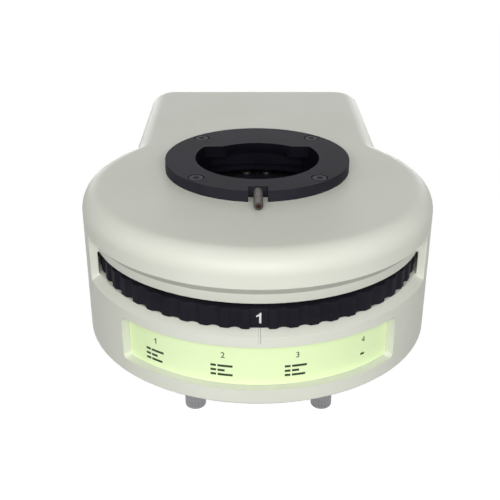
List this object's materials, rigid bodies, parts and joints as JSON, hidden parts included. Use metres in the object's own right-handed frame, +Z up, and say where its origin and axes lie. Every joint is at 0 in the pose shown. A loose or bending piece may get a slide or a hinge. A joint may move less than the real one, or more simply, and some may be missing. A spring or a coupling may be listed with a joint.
{
  "type": "microscope fluorescence module",
  "caption": "Round-fronted epi-fluorescence module for a microscope: filter turret with a scalloped finger wheel, lamp stations, head socket on top and dovetail below.",
  "frame": {"origin": "on the optical axis, level with the lower end of the dovetail, which is also where the thumb screws end", "axes": "+Z up along the optical axis, the round front with the finger wheel faces -Y, +Y to the rear"},
  "size_m": [0.155, 0.2412, 0.079],
  "materials": {
    "pale_paint": "satin",
    "base_paint": "satin",
    "black_anodised": "satin",
    "black_plastic": "satin",
    "label_green": "satin",
    "turned_aluminium": "satin",
    "plain_steel": "satin",
    "black_steel": "satin",
    "spring_steel": "satin",
    "brass_sleeve": "satin",
    "exciter_glass": "gloss",
    "emission_glass": "gloss",
    "lens_glass": "gloss",
    "dichroic_coat": "gloss",
    "lamp_board": "satin",
    "circuit_board": "satin",
    "nylon": "satin",
    "contact_brass": "polished"
  },
  "bodies": {
    "case": {"housing": "pale_paint", "base_plate": "base_paint", "base_screws": "black_steel", "lower_dovetail": "turned_aluminium", "dovetail_screws": "plain_steel", "head_ring": "black_anodised", "head_ring_screws": "black_steel", "label_strip": "label_green", "turret_axle": "plain_steel", "axle_screws": "black_steel", "axle_washer": "plain_steel", "axle_nut": "plain_steel", "plunger_sleeve": "brass_sleeve", "detent_spring": "spring_steel", "contact_block": "black_plastic", "contact_pins": "contact_brass", "driver_board": "circuit_board", "board_standoffs": "nylon", "dc_socket": "black_plastic", "rocker_frame": "black_plastic", "potentiometer": "plain_steel"},
    "turret": {"turret_wheel": "black_plastic", "turret_plate": "black_anodised", "wheel_screws": "black_steel", "turret_hub": "turned_aluminium", "lower_bearing": "plain_steel", "upper_bearing": "plain_steel", "brightfield_tube": "black_anodised", "module_screws": "plain_steel", "filter_cube_1": "black_anodised", "exciter_filter_1": "exciter_glass", "emission_filter_1": "emission_glass", "dichroic_mirror_1": "dichroic_coat", "collector_lens_1": "lens_glass", "led_board_1": "lamp_board", "heat_sink_1": "turned_aluminium", "filter_cube_2": "black_anodised", "exciter_filter_2": "exciter_glass", "emission_filter_2": "emission_glass", "dichroic_mirror_2": "dichroic_coat", "collector_lens_2": "lens_glass", "led_board_2": "lamp_board", "heat_sink_2": "turned_aluminium", "filter_cube_3": "black_anodised", "exciter_filter_3": "exciter_glass", "emission_filter_3": "emission_glass", "dichroic_mirror_3": "dichroic_coat", "collector_lens_3": "lens_glass", "led_board_3": "lamp_board", "heat_sink_3": "turned_aluminium"},
    "clamp": {"clamp_screw": "black_steel"},
    "cover": {"access_cover": "base_paint"},
    "thumb_left": {"thumb_screw_left": "plain_steel"},
    "thumb_right": {"thumb_screw_right": "plain_steel"},
    "click_ball": {"detent_ball": "plain_steel"},
    "rocker": {"rocker_button": "black_plastic"},
    "dimmer": {"dimmer_shaft": "turned_aluminium", "dimmer_knob": "black_plastic"}
  },
  "joints": [
    {"name": "turret_turn", "type": "hinge", "parent": "case", "child": "turret", "pos_m": [0, -0.0205, 0.05], "axis": [0, 0, 1], "continuous": true},
    {"name": "clamp_travel", "type": "slide", "parent": "case", "child": "clamp", "axis": [0, 1, 0], "range_m": [-0.003, 0.003]},
    {"name": "cover_drop", "type": "slide", "parent": "case", "child": "cover", "axis": [0, 0, -1], "range_m": [0, 0.012]},
    {"name": "thumb_left_turn", "type": "hinge", "parent": "cover", "child": "thumb_left", "pos_m": [-0.0258, -0.0808, 0.004], "axis": [0, 0, 1], "continuous": true},
    {"name": "thumb_right_turn", "type": "hinge", "parent": "cover", "child": "thumb_right", "pos_m": [0.0258, -0.0808, 0.004], "axis": [0, 0, 1], "continuous": true},
    {"name": "click_ball_lift", "type": "slide", "parent": "case", "child": "click_ball", "axis": [0, 0, 1], "range_m": [0, 0.001], "stiffness_N_per_m": 600, "springref_m": -0.001, "deforming": ["detent_spring"]},
    {"name": "rocker_tilt", "type": "hinge", "parent": "case", "child": "rocker", "pos_m": [0, 0.133, 0.042], "axis": [1, 0, 0], "range_deg": [-18, 0]},
    {"name": "dimmer_turn", "type": "hinge", "parent": "case", "child": "dimmer", "pos_m": [-0.032, 0.14, 0.042], "axis": [0, -1, 0], "range_deg": [0, 270]}
  ]
}
